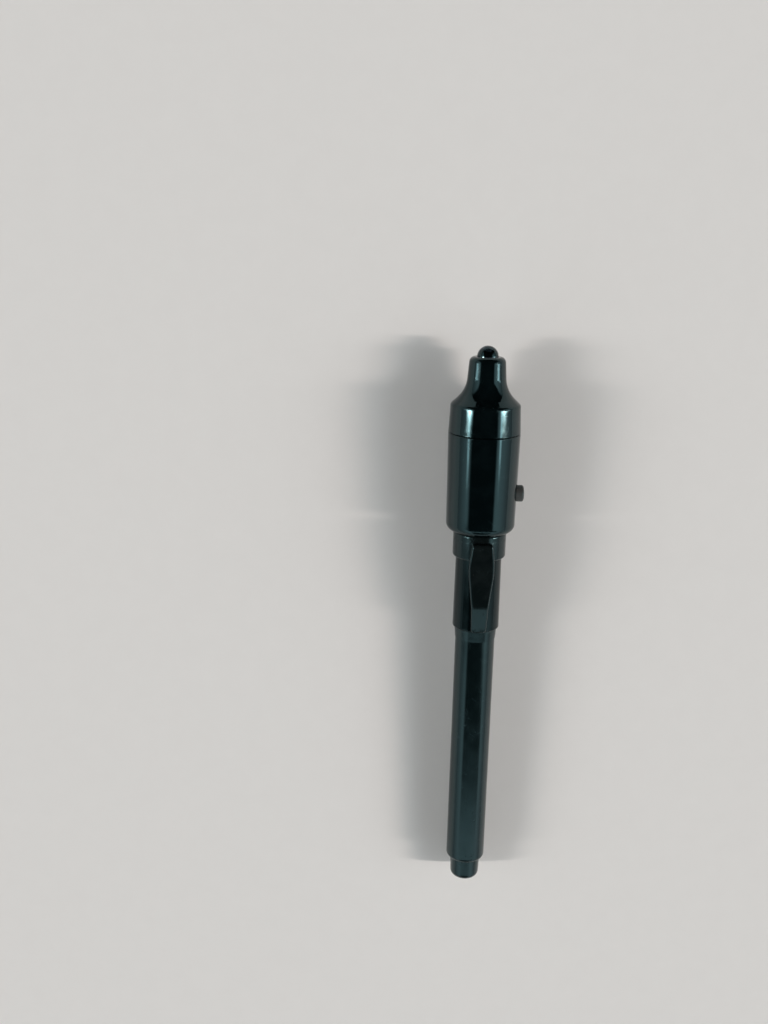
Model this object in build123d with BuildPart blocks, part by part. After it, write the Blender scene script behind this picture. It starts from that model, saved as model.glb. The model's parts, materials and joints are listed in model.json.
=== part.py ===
from build123d import *
import math
import os

# Invisible ink pen with a violet lamp in its cap, lying on a table as it was put down.
# Millimetres. +Y runs along the pen towards the lamp, +Z is up, +X is the button's side.
# The pen lies on two rims, the lamp's lower one and the barrel's tail one, so its axis is
# tilted a little. Stations are counted along that axis from the tail end.

# Clearances
press_clearance = 0.02      # between pieces pressed or glued together
neck_clearance = 0.05       # cap sleeve on the barrel's neck, each side
seat_gap = 0.05             # where a piece that comes off meets its seat
lead_clearance = 0.05       # round a wire lead in its hole

# Tail plug, a cup that closes the barrel
plug_proud = 5.7
plug_radius = 3.6
plug_end_radius = 3.62
plug_end_round = 1.5
plug_depth = 7.0            # length inside the barrel
plug_wall = 1.2
plug_head_radius = 3.8      # outside the barrel, at its tail rim
plug_dimple_radius = 1.4    # round the moulding's gate
plug_dimple_depth = 0.35
plug_dimple_slope = 0.3

# Barrel, with a stop collar for the cap and a neck inside it
barrel_length = 64.5        # tail rim to the cap's rim
barrel_radius = 4.88
barrel_bore_radius = plug_radius + press_clearance
barrel_wall = barrel_radius - barrel_bore_radius
barrel_tail_round = min(1.2, 0.95 * barrel_wall)
collar_length = 2.7
collar_radius = 5.2         # at the cap's rim
collar_foot_radius = 5.0
neck_length = 8.5
neck_radius = 4.35
neck_round = 0.3

# Ink reservoir in its film
film_thickness = 0.12
film_clearance = 0.1

# Nib and its holder
nib_radius = 1.0
nib_depth = 8.5             # length inside the reservoir
nib_proud = 4.0
nib_taper = 2.6
nib_tip_radius = 0.55
nib_tip_round = 0.45
holder_spigot_length = 8.0
holder_flange_radius = 4.1
holder_flange_thickness = 1.2
holder_cone_length = 8.0
holder_cone_radius = 3.2
holder_tip_radius = 1.6

# Cap sleeve
sleeve_length = 18.3        # cap's rim to the clip ring
sleeve_rim_radius = 5.7
sleeve_top_radius = 5.55
sleeve_rim_round = 0.4
sleeve_bore_radius = neck_radius + neck_clearance
ring_seat_radius = 5.3

# Pocket clip, a ring and an arm
ring_height = 6.4
ring_radius = 6.4
ring_round = 0.6
arm_root_drop = 1.7         # from the ring's top down to the arm's root
arm_root_width = 4.9
arm_wide_width = 6.4
arm_wide_drop = 1.6         # widest place, below the ring
arm_bend_width = 4.2
arm_tip_width = 3.7
arm_side_round = 25.0
arm_top = 7.75              # outer face at the root, from the pen's axis
arm_bend_top = 7.2          # outer face at the bend
arm_tip_top = 6.5           # outer face at the tip
arm_thickness = 1.2
arm_bend_thickness = 1.1
arm_tip_thickness = 0.6
arm_bend_rise = 7.1         # from the cap's rim up to the bend
arm_tip_rise = 0.3          # from the cap's rim up to the tip
arm_bend_round = 12.0
arm_shoulder_round = 0.8
arm_edge_round = 0.55
arm_nub_radius = 0.6
arm_nub_gap = 0.12          # to the sleeve

# Lamp body
lamp_length = 23.9
lamp_rim_radius = 8.25
lamp_seam_radius = 8.55
lamp_rim_round = 1.9
lamp_wall = 1.4
socket_depth = 3.7          # for the sleeve's upper end
web_thickness = 1.5
seam_chamfer = 0.2

# Nose cone
shoulder_length = 6.8
shoulder_radius = 8.25
shoulder_round = 1.0
flare_length = 3.3
flare_round = 7.0
bullet_length = 7.8
bullet_base_radius = 4.75
bullet_top_radius = 4.2
bullet_top_round = 1.35
spigot_length = 5.0
spigot_relief = 0.4         # room for the screw thread
spigot_wall = 0.9
nose_roof = 1.7             # under the shoulder, along the axis
post_clearance = 0.3

# Lamp, a 5 mm LED
led_radius = 2.5
led_length = 8.6
led_proud = 2.5
led_flange_radius = 2.9
led_flange_thickness = 1.0
led_hole_clearance = 0.08
lead_thickness = 0.5
lead_pitch = 2.54
anode_post_height = 4.3
cathode_post_height = 4.7
anvil_depth = 1.9
anvil_tip_thickness = 0.6
anvil_gap = 0.35            # between the two posts
cup_radius = 0.5
cup_floor_radius = 0.28
cup_depth = 0.35

# Push button
button_rise = 9.2           # from the lamp's lower end
button_radius = 2.0
button_clearance = 0.06
button_proud = 1.65
button_edge_round = 0.45
button_travel = 0.6
button_flange_radius = 2.5
button_flange_thickness = 0.7
button_flange_clearance = 0.15
button_wall = 1.55          # lamp wall left at the button's seat
button_nub_radius = 0.9
button_nub_length = 0.55

# Cells, spring and carrier
cell_count = 3
cell_radius = 3.95
cell_height = 3.6
cell_round = 0.3
cell_lid_radius = 3.1
cell_lid_height = 0.25
cell_clearance = 0.15
spring_height = 3.5
spring_radius = 2.6         # to the middle of the wire
spring_wire = 0.5
spring_turns = 3
carrier_base_thickness = 0.8
carrier_wall = 1.0
carrier_rib_thickness = 1.2
carrier_rib_clearance = 0.1
carrier_spigot_gap = 0.4    # ribs stop this far below the nose's spigot
window_half_width = 2.75
window_rise = 3.0           # above the button's middle

# Contact strips
foil_thickness = 0.2
strip_foot_thickness = 0.3
strip_foot_radius = 3.4
strip_half_width = 1.5
strip_rise = 2.0            # above the button's middle
leaf_drop = 2.2             # below the button's middle
leaf_flat_length = 4.0      # straight stretch under the button
leaf_slope_length = 3.6

# LED holder
holder_base_thickness = 1.5
holder_base_clearance = 0.35
post_radius = 3.4
post_core_radius = 2.4
post_rib_thickness = 1.2

# Stations along the pen
barrel_tail = plug_proud
cap_rim = barrel_tail + barrel_length
ring_foot = cap_rim + sleeve_length
lamp_foot = ring_foot + ring_height
seam = lamp_foot + lamp_length
shoulder = seam + shoulder_length
bullet_base = shoulder + flare_length
nose_top = bullet_base + bullet_length
led_tip = nose_top + led_proud
led_foot = led_tip - led_length
led_dome = led_tip - led_radius
collar_foot = cap_rim - collar_length
neck_end = cap_rim + neck_length
plug_inner_end = barrel_tail + plug_depth
holder_inner_end = neck_end - holder_spigot_length
holder_tip = neck_end + holder_flange_thickness + holder_cone_length
nib_tip = holder_tip + nib_proud
nib_tail = holder_inner_end - nib_depth
socket_floor = lamp_foot + socket_depth
lamp_floor = socket_floor + web_thickness
button_station = lamp_foot + button_rise
carrier_top_of_base = lamp_floor + carrier_base_thickness
spring_foot = carrier_top_of_base + strip_foot_thickness
cells_foot = spring_foot + spring_height
cells_top = cells_foot + cell_count * cell_height
post_foot = cells_top + lead_thickness
spigot_foot = seam - spigot_length
led_stop = led_foot + led_flange_thickness + seat_gap
nose_slope_top = shoulder + flare_length - nose_roof

# Radii and reaches that follow from the sizes above
reservoir_radius = barrel_bore_radius - film_clearance - film_thickness
holder_spigot_radius = barrel_bore_radius - press_clearance
nib_hole_radius = nib_radius + press_clearance
ring_bore_radius = ring_seat_radius + press_clearance
socket_radius = ring_seat_radius + press_clearance
lamp_cavity_radius = lamp_seam_radius - lamp_wall
lamp_draft = (lamp_seam_radius - lamp_rim_radius) / lamp_length
lamp_button_radius = lamp_rim_radius + lamp_draft * button_rise
spigot_radius = lamp_cavity_radius - spigot_relief
spigot_bore_radius = spigot_radius - spigot_wall
post_bore_radius = post_radius + post_clearance
nose_slope_foot = nose_slope_top - (spigot_bore_radius - post_bore_radius)
led_hole_radius = led_radius + led_hole_clearance
pocket_radius = cell_radius + cell_clearance
carrier_radius = pocket_radius + carrier_wall
carrier_rib_radius = lamp_cavity_radius - carrier_rib_clearance
post_base_radius = spigot_bore_radius - holder_base_clearance
button_reach = lamp_button_radius + button_proud
button_seat = lamp_button_radius - button_wall
button_flange_face = button_seat - seat_gap
button_flange_back = button_flange_face - button_flange_thickness
button_nub_end = button_flange_back - button_nub_length
leaf_free_face = button_nub_end - press_clearance
leaf_fixed_face = carrier_radius - foil_thickness / 2
strip_face = leaf_free_face - foil_thickness - button_travel
pen_radius = max(lamp_seam_radius, lamp_rim_radius, shoulder_radius)

# How the pen lies: both rounded rims touch the table
lamp_round_middle = lamp_rim_radius + lamp_draft * lamp_rim_round
lamp_round_middle -= lamp_rim_round * math.hypot(1, lamp_draft)
tail_round_middle = barrel_radius - barrel_tail_round
rest_run = lamp_foot + lamp_rim_round - barrel_tail - barrel_tail_round
rest_rise = lamp_round_middle - tail_round_middle
rest_step = lamp_rim_round - barrel_tail_round
tilt = math.atan2(rest_rise, rest_run) + math.asin(rest_step / math.hypot(rest_run, rest_rise))
tail_height = barrel_tail_round + tail_round_middle * math.cos(tilt)
tail_height -= (barrel_tail + barrel_tail_round) * math.sin(tilt)

# Directions and planes of the tilted pen
across = Vector(1, 0, 0)
along = Vector(0, math.cos(tilt), math.sin(tilt))
up = Vector(0, -math.sin(tilt), math.cos(tilt))
tail_end = Vector((pen_radius - button_reach) / 2, -led_tip * math.cos(tilt) / 2, tail_height)
pen_axis = Axis(tail_end, along)
side_plane = Plane(origin=tail_end, x_dir=across, z_dir=up)       # x is radius, y is station
clip_plane = Plane(origin=tail_end, x_dir=along, z_dir=across)    # x is station, y is height
button_middle = tail_end + along * button_station
button_axis = Axis(button_middle, across)
button_plane = Plane(origin=button_middle, x_dir=along, z_dir=across)
button_section = Plane(origin=button_middle, x_dir=along, z_dir=-up)  # x is radius, y is reach


def cross_plane(station):
    """The plane square to the pen at a station, with the button's side along its x."""
    return Plane(origin=tail_end + along * station, x_dir=across, z_dir=along)


def corner(sketch, x, y):
    """The corner of a sketch that is nearest to a place."""
    return sketch.vertices().sort_by_distance((x, y, 0))[0]


def save(piece, name):
    """Name a finished piece and write it."""
    piece.part.label = name
    export_step(piece.part, f"parts/{name}.step")


os.makedirs("parts", exist_ok=True)

# Barrel: one moulded tube, open at both ends
with BuildPart() as barrel:
    with BuildSketch(side_plane) as section:
        with BuildLine():
            Polyline(
                (barrel_bore_radius, barrel_tail),
                (barrel_radius, barrel_tail),
                (barrel_radius, collar_foot),
                (collar_foot_radius, collar_foot),
                (collar_radius, cap_rim),
                (neck_radius, cap_rim),
                (neck_radius, neck_end),
                (barrel_bore_radius, neck_end),
                close=True,
            )
        make_face()
        fillet(corner(section, barrel_radius, barrel_tail), barrel_tail_round)
        fillet(corner(section, neck_radius, neck_end), neck_round)
    revolve(axis=pen_axis)
save(barrel, "barrel")

# Tail plug: a thin cup whose rounded head stays outside, with a dimple round its gate
with BuildPart() as tail_plug:
    with BuildSketch(side_plane) as section:
        with BuildLine():
            Polyline(
                (0, plug_dimple_depth),
                (plug_dimple_radius - plug_dimple_slope, plug_dimple_depth),
                (plug_dimple_radius, 0),
                (plug_end_radius, 0),
                (plug_head_radius, barrel_tail),
                (plug_radius, barrel_tail),
                (plug_radius, plug_inner_end),
                (plug_radius - plug_wall, plug_inner_end),
                (plug_radius - plug_wall, plug_wall),
                (0, plug_wall),
                close=True,
            )
        make_face()
        fillet(corner(section, plug_end_radius, 0), plug_end_round)
    revolve(axis=pen_axis)
save(tail_plug, "tail_plug")

# Ink reservoir: a fibre rod with a hole that takes the nib's tail
with BuildPart() as ink_reservoir:
    with BuildSketch(side_plane):
        with BuildLine():
            Polyline(
                (0, plug_inner_end),
                (reservoir_radius, plug_inner_end),
                (reservoir_radius, holder_inner_end),
                (nib_hole_radius, holder_inner_end),
                (nib_hole_radius, nib_tail),
                (0, nib_tail),
                close=True,
            )
        make_face()
    revolve(axis=pen_axis)
save(ink_reservoir, "ink_reservoir")

# Film: wrapped round the fibre rod
with BuildPart() as reservoir_film:
    with BuildSketch(cross_plane(plug_inner_end)):
        Circle(reservoir_radius + film_thickness)
        Circle(reservoir_radius, mode=Mode.SUBTRACT)
    extrude(amount=holder_inner_end - plug_inner_end)
save(reservoir_film, "reservoir_film")

# Nib holder: spigot in the neck, flange on its end, cone to the nib
with BuildPart() as nib_holder:
    with BuildSketch(side_plane) as section:
        with BuildLine():
            Polyline(
                (nib_hole_radius, holder_inner_end),
                (holder_spigot_radius, holder_inner_end),
                (holder_spigot_radius, neck_end),
                (holder_flange_radius, neck_end),
                (holder_flange_radius, neck_end + holder_flange_thickness),
                (holder_cone_radius, neck_end + holder_flange_thickness),
                (holder_tip_radius, holder_tip),
                (nib_hole_radius, holder_tip),
                close=True,
            )
        make_face()
        fillet(corner(section, holder_flange_radius, neck_end + holder_flange_thickness), neck_round)
    revolve(axis=pen_axis)
save(nib_holder, "nib_holder")

# Nib: a pressed fibre rod ground to a bullet
with BuildPart() as nib:
    with BuildSketch(side_plane) as section:
        with BuildLine():
            Polyline(
                (0, nib_tail),
                (nib_radius, nib_tail),
                (nib_radius, nib_tip - nib_taper),
                (nib_tip_radius, nib_tip),
                (0, nib_tip),
                close=True,
            )
        make_face()
        fillet(corner(section, nib_tip_radius, nib_tip), nib_tip_round)
    revolve(axis=pen_axis)
save(nib, "nib")

# Cap sleeve: goes over the neck, and its upper end is glued into the lamp body
with BuildPart() as cap_sleeve:
    with BuildSketch(side_plane) as section:
        with BuildLine():
            Polyline(
                (sleeve_bore_radius, cap_rim + seat_gap),
                (sleeve_rim_radius, cap_rim + seat_gap),
                (sleeve_top_radius, ring_foot),
                (ring_seat_radius, ring_foot),
                (ring_seat_radius, socket_floor),
                (sleeve_bore_radius, socket_floor),
                close=True,
            )
        make_face()
        fillet(corner(section, sleeve_rim_radius, cap_rim), sleeve_rim_round)
    revolve(axis=pen_axis)
save(cap_sleeve, "cap_sleeve")

# Pocket clip: the arm is cut from its side view and its front view, then the ring is added
arm_root = lamp_foot - arm_root_drop
arm_bend = cap_rim + arm_bend_rise
arm_tip = cap_rim + arm_tip_rise
arm_under = arm_top - arm_thickness
arm_inside_ring = (ring_radius + ring_bore_radius) / 2
sleeve_draft = (sleeve_rim_radius - sleeve_top_radius) / sleeve_length
sleeve_bend_radius = sleeve_rim_radius - sleeve_draft * arm_bend_rise
nub_middle = sleeve_bend_radius + arm_nub_gap + arm_nub_radius
with BuildPart() as pocket_clip:
    with BuildSketch(clip_plane) as side_view:
        with BuildLine():
            Polyline(
                (arm_root, arm_inside_ring),
                (arm_root, arm_top),
                (arm_bend, arm_bend_top),
                (arm_tip, arm_tip_top),
                (arm_tip, arm_tip_top - arm_tip_thickness),
                (arm_bend, arm_bend_top - arm_bend_thickness),
                (ring_foot + ring_round, arm_under),
                (ring_foot + ring_round, arm_inside_ring),
                close=True,
            )
        make_face()
        fillet(corner(side_view, arm_bend, arm_bend_top), arm_bend_round)
        fillet(corner(side_view, arm_root, arm_top), arm_shoulder_round)
        with Locations((arm_bend, nub_middle)):
            Circle(arm_nub_radius)
    extrude(amount=arm_wide_width, both=True)
    with BuildSketch(side_plane) as front_view:
        with BuildLine():
            Polyline(
                (arm_root_width / 2, lamp_foot),
                (arm_root_width / 2, arm_root),
                (arm_wide_width / 2, ring_foot - arm_wide_drop),
                (arm_bend_width / 2, arm_bend),
                (arm_tip_width / 2, arm_tip),
                (0, arm_tip),
                (0, lamp_foot),
                close=True,
            )
        make_face()
        fillet(corner(front_view, arm_wide_width / 2, ring_foot - arm_wide_drop), arm_side_round)
        fillet(corner(front_view, arm_tip_width / 2, arm_tip), arm_tip_width / 4)
        mirror(about=Plane.YZ)
    extrude(amount=arm_top + arm_thickness, mode=Mode.INTERSECT)
    crown = pocket_clip.faces().filter_by(lambda face: face.normal_at().dot(up) > 0.5)
    rims = [edge for face in crown for edge in face.edges()]
    fillet([edge for edge in rims if sum(edge.is_same(other) for other in rims) == 1], arm_edge_round)
    with BuildSketch(side_plane) as section:
        with BuildLine():
            Polyline(
                (ring_bore_radius, ring_foot),
                (ring_radius, ring_foot),
                (ring_radius, lamp_foot),
                (ring_bore_radius, lamp_foot),
                close=True,
            )
        make_face()
        fillet(corner(section, ring_radius, ring_foot), ring_round)
        fillet(corner(section, ring_radius, lamp_foot), ring_round)
    revolve(axis=pen_axis)
save(pocket_clip, "pocket_clip")

# Lamp body: a cup with a socket for the sleeve below and the cells above
with BuildPart() as lamp_body:
    with BuildSketch(side_plane) as section:
        with BuildLine():
            Polyline(
                (socket_radius, lamp_foot),
                (lamp_rim_radius, lamp_foot),
                (lamp_seam_radius, seam),
                (lamp_cavity_radius, seam),
                (lamp_cavity_radius, lamp_floor),
                (0, lamp_floor),
                (0, socket_floor),
                (socket_radius, socket_floor),
                close=True,
            )
        make_face()
        fillet(corner(section, lamp_rim_radius, lamp_foot), lamp_rim_round)
        chamfer(corner(section, lamp_seam_radius, seam), seam_chamfer)
    revolve(axis=pen_axis)
    with BuildSketch(button_plane):
        Circle(button_radius + button_clearance)
    extrude(amount=button_reach, mode=Mode.SUBTRACT)
    with BuildSketch(button_plane):
        Circle(button_flange_radius + button_flange_clearance)
    extrude(amount=button_seat, mode=Mode.SUBTRACT)
save(lamp_body, "lamp_body")

# Push button: a stepped plunger held in by its flange
with BuildPart() as push_button:
    with BuildSketch(button_section) as section:
        with BuildLine():
            Polyline(
                (0, button_nub_end),
                (button_nub_radius, button_nub_end),
                (button_nub_radius, button_flange_back),
                (button_flange_radius, button_flange_back),
                (button_flange_radius, button_flange_face),
                (button_radius, button_flange_face),
                (button_radius, button_reach),
                (0, button_reach),
                close=True,
            )
        make_face()
        fillet(corner(section, button_radius, button_reach), button_edge_round)
    revolve(axis=button_axis)
save(push_button, "push_button")

# Battery carrier: base, tube for the cells and ribs that centre it in the lamp body
with BuildPart() as battery_carrier:
    with BuildSketch(cross_plane(lamp_floor)):
        Circle(carrier_rib_radius)
    extrude(amount=carrier_base_thickness)
    with BuildSketch(cross_plane(carrier_top_of_base)):
        with PolarLocations(carrier_rib_radius / 2, 3, start_angle=90, angular_range=180, endpoint=True):
            Rectangle(carrier_rib_radius, carrier_rib_thickness)
        Circle(carrier_rib_radius, mode=Mode.INTERSECT)
    extrude(amount=spigot_foot - carrier_spigot_gap - carrier_top_of_base)
    with BuildSketch(cross_plane(carrier_top_of_base)):
        Circle(carrier_radius)
    extrude(amount=post_foot - carrier_top_of_base)
    with BuildSketch(cross_plane(carrier_top_of_base)):
        Circle(pocket_radius)
    extrude(amount=post_foot - carrier_top_of_base, mode=Mode.SUBTRACT)
    window_top = button_station + window_rise
    with BuildSketch(side_plane):
        with Locations((carrier_radius, carrier_top_of_base)):
            Rectangle(
                carrier_radius,
                window_top - carrier_top_of_base,
                align=(Align.CENTER, Align.MIN),
            )
    extrude(amount=window_half_width, both=True, mode=Mode.SUBTRACT)
    with BuildSketch(side_plane):
        with Locations((leaf_fixed_face, window_top)):
            Rectangle(carrier_radius, post_foot - window_top, align=(Align.MIN, Align.MIN))
    extrude(amount=strip_half_width + lead_clearance, both=True, mode=Mode.SUBTRACT)
save(battery_carrier, "battery_carrier")

# Battery strip: a disc under the spring and a tab that stands up behind the switch leaf
with BuildPart() as battery_strip:
    with BuildSketch(cross_plane(carrier_top_of_base)):
        Circle(strip_foot_radius)
        with Locations((0, 0)):
            Rectangle(strip_face, 2 * strip_half_width, align=(Align.MIN, Align.CENTER))
    extrude(amount=strip_foot_thickness)
    with BuildSketch(side_plane):
        with Locations((strip_face, carrier_top_of_base)):
            Rectangle(
                foil_thickness,
                button_station + strip_rise - carrier_top_of_base,
                align=(Align.MAX, Align.MIN),
            )
    extrude(amount=strip_half_width, both=True)
save(battery_strip, "battery_strip")

# Switch leaf: fixed along the carrier's flat, sloping out to lie under the button
leaf_end = button_station - leaf_drop
leaf_foot_of_slope = leaf_end + leaf_flat_length
leaf_top_of_slope = leaf_foot_of_slope + leaf_slope_length
leaf_top = post_foot + lead_clearance + 2 * lead_thickness
with BuildPart() as switch_leaf:
    with BuildSketch(side_plane):
        with BuildLine():
            Polyline(
                (leaf_fixed_face, leaf_top),
                (leaf_fixed_face, leaf_top_of_slope),
                (leaf_free_face - foil_thickness, leaf_foot_of_slope),
                (leaf_free_face - foil_thickness, leaf_end),
                (leaf_free_face, leaf_end),
                (leaf_free_face, leaf_foot_of_slope),
                (leaf_fixed_face + foil_thickness, leaf_top_of_slope),
                (leaf_fixed_face + foil_thickness, leaf_top),
                close=True,
            )
        make_face()
    extrude(amount=strip_half_width, both=True)
save(switch_leaf, "switch_leaf")

# Battery spring: one wire wound upwards, each quarter turn as two arcs
spring_climb = spring_height - spring_wire
spring_pitch = spring_climb / spring_turns
quarter_turns = 4 * spring_turns
down = -up


def spring_point(quarter):
    """Middle of the wire after a number of quarter turns."""
    angle = quarter * math.pi / 2
    station = spring_foot + spring_wire / 2 + spring_climb * quarter / quarter_turns
    radial = across * math.cos(angle) + down * math.sin(angle)
    return tail_end + along * station + radial * spring_radius


def spring_direction(quarter):
    """Way that the wire runs after a number of quarter turns."""
    angle = quarter * math.pi / 2
    turn = down * math.cos(angle) - across * math.sin(angle)
    return (turn * (2 * math.pi * spring_radius) + along * spring_pitch).normalized()


with BuildPart() as battery_spring:
    with BuildLine() as coil:
        for quarter in range(quarter_turns):
            start = spring_point(quarter)
            finish = spring_point(quarter + 1)
            leaving = spring_direction(quarter)
            reaching = spring_direction(quarter + 1)
            chord = finish - start
            bend = 2 * (1 - leaving.dot(reaching))
            forward = chord.dot(leaving + reaching)
            reach = (math.sqrt(forward**2 + bend * chord.dot(chord)) - forward) / bend
            halfway = (start + finish + (leaving - reaching) * reach) * 0.5
            TangentArc(start, halfway, tangent=leaving)
            TangentArc(halfway, finish, tangent=chord - (leaving + reaching) * reach)
    with BuildSketch(Plane(origin=spring_point(0), z_dir=spring_direction(0))):
        Circle(spring_wire / 2)
    sweep()
save(battery_spring, "battery_spring")
print("gap between the spring's turns", round(spring_pitch - spring_wire, 3))

# Button cells: stacked lid down on the spring
for number in range(cell_count):
    cell_foot = cells_foot + number * cell_height
    with BuildPart() as button_cell:
        with BuildSketch(side_plane) as section:
            with BuildLine():
                Polyline(
                    (0, cell_foot),
                    (cell_lid_radius, cell_foot),
                    (cell_lid_radius, cell_foot + cell_lid_height),
                    (cell_radius, cell_foot + cell_lid_height),
                    (cell_radius, cell_foot + cell_height),
                    (0, cell_foot + cell_height),
                    close=True,
                )
            make_face()
            fillet(corner(section, cell_radius, cell_foot + cell_lid_height), cell_round)
            fillet(corner(section, cell_radius, cell_foot + cell_height), cell_round)
        revolve(axis=pen_axis)
    save(button_cell, f"button_cell_{number + 1}")

# LED anode: post in the lens, lead through the holder, foot bent over on the top cell
lead_inner = (lead_pitch - lead_thickness) / 2
lead_outer = (lead_pitch + lead_thickness) / 2
anode_top = led_foot + anode_post_height
with BuildPart() as led_anode:
    with BuildSketch(side_plane):
        with BuildLine():
            Polyline(
                (-lead_outer, cells_top),
                (0, cells_top),
                (0, post_foot),
                (-lead_inner, post_foot),
                (-lead_inner, anode_top),
                (-lead_outer, anode_top),
                close=True,
            )
        make_face()
    extrude(amount=lead_thickness / 2, both=True)
save(led_anode, "led_anode")

# LED cathode: anvil with the chip's cup, lead through the holder, run out to the switch leaf
run_foot = post_foot + lead_clearance
run_top = run_foot + lead_thickness
cathode_top = led_foot + cathode_post_height
anvil_edge = anvil_gap - lead_inner
with BuildPart() as led_cathode:
    with BuildSketch(side_plane):
        with BuildLine():
            Polyline(
                (lead_inner, run_foot),
                (leaf_fixed_face, run_foot),
                (leaf_fixed_face, run_top),
                (lead_outer, run_top),
                (lead_outer, cathode_top),
                (anvil_edge, cathode_top),
                (anvil_edge, cathode_top - anvil_tip_thickness),
                (lead_inner, cathode_top - anvil_depth),
                close=True,
            )
        make_face()
    extrude(amount=lead_thickness / 2, both=True)
    with BuildSketch(side_plane):
        with BuildLine():
            Polyline(
                (0, cathode_top),
                (cup_radius, cathode_top),
                (cup_floor_radius, cathode_top - cup_depth),
                (0, cathode_top - cup_depth),
                close=True,
            )
        make_face()
    revolve(axis=pen_axis, mode=Mode.SUBTRACT)
save(led_cathode, "led_cathode")

# LED lens: clear moulding with a domed end, a flange and a flat on the cathode's side
with BuildPart() as uv_led:
    with BuildSketch(side_plane):
        with BuildLine():
            foot = Polyline(
                (0, led_tip),
                (0, led_foot),
                (led_flange_radius, led_foot),
                (led_flange_radius, led_foot + led_flange_thickness),
                (led_radius, led_foot + led_flange_thickness),
                (led_radius, led_dome),
            )
            RadiusArc(foot @ 1, foot @ 0, -led_radius)
        make_face()
    revolve(axis=pen_axis)
    with BuildSketch(side_plane):
        with Locations((led_radius, led_foot)):
            Rectangle(
                led_flange_radius,
                led_flange_thickness,
                align=(Align.MIN, Align.MIN),
            )
    extrude(amount=led_flange_radius, both=True, mode=Mode.SUBTRACT)
    add(led_anode.part, mode=Mode.SUBTRACT)
    add(led_cathode.part, mode=Mode.SUBTRACT)
save(uv_led, "uv_led")

# LED holder: base on the carrier, ribbed post up to the lens, holes and a groove for the leads
with BuildPart() as led_holder:
    with BuildSketch(cross_plane(post_foot)):
        Circle(post_base_radius)
    extrude(amount=holder_base_thickness)
    with BuildSketch(cross_plane(post_foot + holder_base_thickness)):
        Circle(post_core_radius)
        with PolarLocations(0, 2):
            Rectangle(2 * post_radius, post_rib_thickness)
        with PolarLocations(0, 2, start_angle=90):
            Rectangle(2 * post_radius, post_rib_thickness)
        Circle(post_radius, mode=Mode.INTERSECT)
    extrude(amount=led_foot - post_foot - holder_base_thickness)
    lead_slot = lead_thickness + 2 * lead_clearance
    with BuildSketch(cross_plane(post_foot)):
        with GridLocations(lead_pitch, 0, 2, 1):
            Rectangle(lead_slot, lead_slot)
    extrude(amount=led_foot - post_foot, mode=Mode.SUBTRACT)
    with BuildSketch(cross_plane(post_foot)):
        with Locations((lead_inner, 0)):
            Rectangle(post_base_radius, lead_slot, align=(Align.MIN, Align.CENTER))
    extrude(amount=2 * lead_clearance + lead_thickness, mode=Mode.SUBTRACT)
    with BuildSketch(cross_plane(post_foot)):
        with Locations((leaf_fixed_face - lead_clearance, 0)):
            Rectangle(
                post_base_radius,
                2 * strip_half_width + 2 * lead_clearance,
                align=(Align.MIN, Align.CENTER),
            )
    extrude(amount=holder_base_thickness, mode=Mode.SUBTRACT)
save(led_holder, "led_holder")

# Nose cone: shoulder, flare and bullet with the lamp's hole, on a spigot that screws in
with BuildPart() as nose_cone:
    with BuildSketch(side_plane) as section:
        with BuildLine():
            Polyline(
                (spigot_bore_radius, spigot_foot),
                (spigot_radius, spigot_foot),
                (spigot_radius, seam + seat_gap),
                (lamp_seam_radius, seam + seat_gap),
                (shoulder_radius, shoulder),
                (bullet_base_radius, bullet_base),
                (bullet_top_radius, nose_top),
                (led_hole_radius, nose_top),
                (led_hole_radius, led_stop),
                (post_bore_radius, led_stop),
                (post_bore_radius, nose_slope_top),
                (spigot_bore_radius, nose_slope_foot),
                close=True,
            )
        make_face()
        chamfer(corner(section, lamp_seam_radius, seam), seam_chamfer)
        fillet(corner(section, shoulder_radius, shoulder), shoulder_round)
        fillet(corner(section, bullet_base_radius, bullet_base), flare_round)
        fillet(corner(section, bullet_top_radius, nose_top), bullet_top_round)
    revolve(axis=pen_axis)
save(nose_cone, "nose_cone")
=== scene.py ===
import json
import math

import bmesh
import bpy
from mathutils import Euler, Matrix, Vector


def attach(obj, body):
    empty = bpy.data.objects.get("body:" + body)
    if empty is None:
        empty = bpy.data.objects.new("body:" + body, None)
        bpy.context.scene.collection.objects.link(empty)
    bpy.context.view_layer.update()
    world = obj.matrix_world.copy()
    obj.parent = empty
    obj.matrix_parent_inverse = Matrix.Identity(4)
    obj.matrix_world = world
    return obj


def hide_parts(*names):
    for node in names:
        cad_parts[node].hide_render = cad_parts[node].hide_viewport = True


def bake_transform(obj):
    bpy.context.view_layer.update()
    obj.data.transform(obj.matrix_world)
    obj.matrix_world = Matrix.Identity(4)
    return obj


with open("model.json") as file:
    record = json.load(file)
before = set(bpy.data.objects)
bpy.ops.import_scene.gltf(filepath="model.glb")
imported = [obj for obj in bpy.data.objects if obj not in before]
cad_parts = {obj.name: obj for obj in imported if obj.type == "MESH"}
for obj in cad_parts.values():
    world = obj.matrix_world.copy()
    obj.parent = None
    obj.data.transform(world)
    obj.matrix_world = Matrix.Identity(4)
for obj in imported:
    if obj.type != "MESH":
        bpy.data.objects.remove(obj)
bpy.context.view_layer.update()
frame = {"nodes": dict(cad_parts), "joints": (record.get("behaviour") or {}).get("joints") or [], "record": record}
solids = frame["nodes"]

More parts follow.
